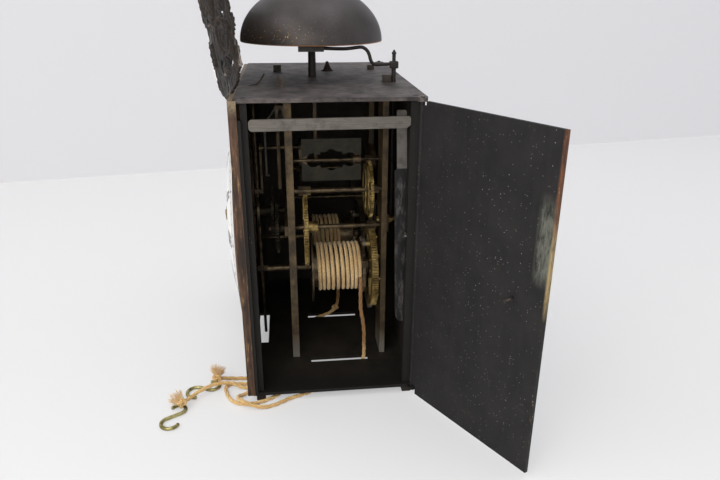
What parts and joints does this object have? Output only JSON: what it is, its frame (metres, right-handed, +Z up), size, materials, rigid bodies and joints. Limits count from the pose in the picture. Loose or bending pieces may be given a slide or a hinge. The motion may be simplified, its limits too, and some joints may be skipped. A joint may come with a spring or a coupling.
{
  "type": "comtoise clock",
  "caption": "Iron-cage wall clock movement with bell, domed enamel dial, pressed crest, hinged side doors, twin rope drums and short pendulum wire.",
  "frame": {"origin": "on the surface that the clock stands on, under the middle of the cage", "axes": "+X to the clock's right side, -Y towards its dial, +Z up"},
  "size_m": [0.3644, 0.2939, 0.3888],
  "materials": {
    "blackened_iron": "dull blackened sheet iron",
    "top_iron": "worn dark iron with light scuffs",
    "bar_iron": "brown-grey oiled iron",
    "worn_steel": "light worn steel",
    "arbor_steel": "brownish steel",
    "movement_brass": "dull oiled brass",
    "front_brass": "brown toned pressed brass",
    "crown_brass": "tarnished pressed brass",
    "hook_brass": "olive toned brass wire",
    "enamel": "white vitreous enamel",
    "bell_bronze": "dark brown bell metal",
    "rope": "straw coloured twisted cord"
  },
  "bodies": {
    "cage": {"bottom_plate": "blackened_iron", "top_plate": "top_iron", "corner_posts": "blackened_iron", "feet": "blackened_iron", "strike_front_bar": "bar_iron", "strike_rear_bar": "bar_iron", "going_front_bar": "bar_iron", "going_rear_bar": "bar_iron", "centre_bar": "bar_iron", "anchor_cock": "bar_iron", "back_panel": "blackened_iron", "front_frame": "front_brass", "dial": "enamel", "bezel": "front_brass", "crown": "crown_brass", "crown_cartouche": "enamel", "bell_post": "arbor_steel", "bell": "bell_bronze", "bell_nut": "arbor_steel", "plate_keys": "top_iron", "release_cocks": "bar_iron", "hammer_cock": "bar_iron", "hammer_cock_bolt": "movement_brass", "guide_strip": "worn_steel", "motion_bridge": "bar_iron", "suspension_cock": "bar_iron", "strike_rope": "rope", "going_rope": "rope", "strike_knot": "rope", "going_knot": "rope", "strike_hook": "hook_brass", "going_hook": "hook_brass"},
    "right_door": {"right_door": "blackened_iron"},
    "left_door": {"left_door": "blackened_iron"},
    "strike_great": {"strike_great_wheel": "movement_brass"},
    "strike_drum": {"strike_barrel": "arbor_steel", "strike_winding": "rope"},
    "strike_pawl": {"strike_click": "worn_steel"},
    "strike_second": {"strike_second_wheel": "movement_brass"},
    "strike_third": {"strike_third_wheel": "movement_brass"},
    "fly_vane": {"fly": "movement_brass"},
    "going_great": {"going_great_wheel": "movement_brass"},
    "going_drum": {"going_barrel": "arbor_steel", "going_winding": "rope"},
    "going_pawl": {"going_click": "worn_steel"},
    "going_second": {"going_second_wheel": "movement_brass"},
    "going_third": {"going_third_wheel": "movement_brass"},
    "escape": {"escape_wheel": "movement_brass"},
    "anchor_and_crutch": {"anchor": "arbor_steel", "crutch": "worn_steel"},
    "pendulum": {"pendulum_rod": "worn_steel"},
    "minute": {"minute_pipe": "movement_brass", "minute_hand": "movement_brass"},
    "hour": {"hour_wheel": "movement_brass", "hour_hand": "movement_brass"},
    "reverse": {"reverse_wheel": "movement_brass"},
    "strike_hammer": {"hammer": "arbor_steel", "hammer_head": "bar_iron"},
    "release": {"release_lever": "worn_steel", "release_arbor": "arbor_steel"}
  },
  "joints": [
    {"name": "right_door_hinge", "type": "hinge", "parent": "cage", "child": "right_door", "pos_m": [0.122, 0.0704, 0.007], "axis": [0, 0, 1], "range_deg": [-120.5, 29.5]},
    {"name": "left_door_hinge", "type": "hinge", "parent": "cage", "child": "left_door", "pos_m": [-0.122, 0.0704, 0.007], "axis": [0, 0, -1], "range_deg": [0, 150]},
    {"name": "strike_second_turn", "type": "hinge", "parent": "cage", "child": "strike_second", "pos_m": [0.0516, 0, 0.143], "axis": [0, 1, 0], "continuous": true},
    {"name": "strike_great_turn", "type": "hinge", "parent": "cage", "child": "strike_great", "pos_m": [0.046, 0, 0.1], "axis": [0, 1, 0], "continuous": true},
    {"name": "strike_third_turn", "type": "hinge", "parent": "cage", "child": "strike_third", "pos_m": [0.06, 0, 0.181], "axis": [0, 1, 0], "continuous": true},
    {"name": "fly_turn", "type": "hinge", "parent": "cage", "child": "fly_vane", "pos_m": [0.048, 0, 0.206], "axis": [0, 1, 0], "continuous": true},
    {"name": "strike_winding_turn", "type": "hinge", "parent": "strike_great", "child": "strike_drum", "pos_m": [0.046, 0, 0.1], "axis": [0, 1, 0], "continuous": true},
    {"name": "strike_click_lift", "type": "hinge", "parent": "strike_great", "child": "strike_pawl", "pos_m": [0.0625, 0.031, 0.12858], "axis": [0, 1, 0], "range_deg": [0, 12]},
    {"name": "going_second_turn", "type": "hinge", "parent": "cage", "child": "going_second", "pos_m": [-0.054, 0, 0.138], "axis": [0, 1, 0], "continuous": true},
    {"name": "going_great_turn", "type": "hinge", "parent": "cage", "child": "going_great", "pos_m": [-0.046, 0, 0.096], "axis": [0, 1, 0], "continuous": true},
    {"name": "going_third_turn", "type": "hinge", "parent": "cage", "child": "going_third", "pos_m": [-0.046, 0, 0.173], "axis": [0, 1, 0], "continuous": true},
    {"name": "escape_turn", "type": "hinge", "parent": "cage", "child": "escape", "pos_m": [-0.02, 0, 0.187], "axis": [0, 1, 0], "continuous": true},
    {"name": "going_winding_turn", "type": "hinge", "parent": "going_great", "child": "going_drum", "pos_m": [-0.046, 0, 0.096], "axis": [0, 1, 0], "continuous": true},
    {"name": "going_click_lift", "type": "hinge", "parent": "going_great", "child": "going_pawl", "pos_m": [-0.0295, 0.031, 0.12458], "axis": [0, 1, 0], "range_deg": [0, 12]},
    {"name": "pendulum_swing", "type": "hinge", "parent": "cage", "child": "pendulum", "pos_m": [0, -0.066, 0.259], "axis": [0, 1, 0], "range_deg": [-2.5, 2.5]},
    {"name": "anchor_rock", "type": "hinge", "parent": "cage", "child": "anchor_and_crutch", "pos_m": [0, 0, 0.207], "axis": [0, 1, 0], "range_deg": [-5.6, 5.6]},
    {"name": "minute_turn", "type": "hinge", "parent": "cage", "child": "minute", "pos_m": [0, 0, 0.1425], "axis": [0, 1, 0], "continuous": true},
    {"name": "hour_turn", "type": "hinge", "parent": "cage", "child": "hour", "pos_m": [0, 0, 0.1425], "axis": [0, 1, 0], "continuous": true},
    {"name": "reverse_turn", "type": "hinge", "parent": "cage", "child": "reverse", "pos_m": [0.0288, 0, 0.134], "axis": [0, 1, 0], "continuous": true},
    {"name": "hammer_swing", "type": "hinge", "parent": "cage", "child": "strike_hammer", "pos_m": [0.0383, 0.0609, 0.146], "axis": [0, 0, 1], "range_deg": [-12, 1]},
    {"name": "release_lift", "type": "hinge", "parent": "cage", "child": "release", "pos_m": [0, -0.0403, 0.2528], "axis": [1, 0, 0], "range_deg": [0, 4]}
  ],
  "couplings": [
    {"joint": "strike_great_turn", "follows": "strike_second_turn", "ratio": -0.1},
    {"joint": "strike_third_turn", "follows": "strike_second_turn", "ratio": -9},
    {"joint": "fly_turn", "follows": "strike_second_turn", "ratio": 81},
    {"joint": "going_great_turn", "follows": "going_second_turn", "ratio": -0.11111},
    {"joint": "going_third_turn", "follows": "going_second_turn", "ratio": -10},
    {"joint": "escape_turn", "follows": "going_second_turn", "ratio": 93.75},
    {"joint": "anchor_rock", "follows": "pendulum_swing", "ratio": 2.2093},
    {"joint": "reverse_turn", "follows": "minute_turn", "ratio": -0.33333},
    {"joint": "hour_turn", "follows": "minute_turn", "ratio": 0.083333}
  ]
}
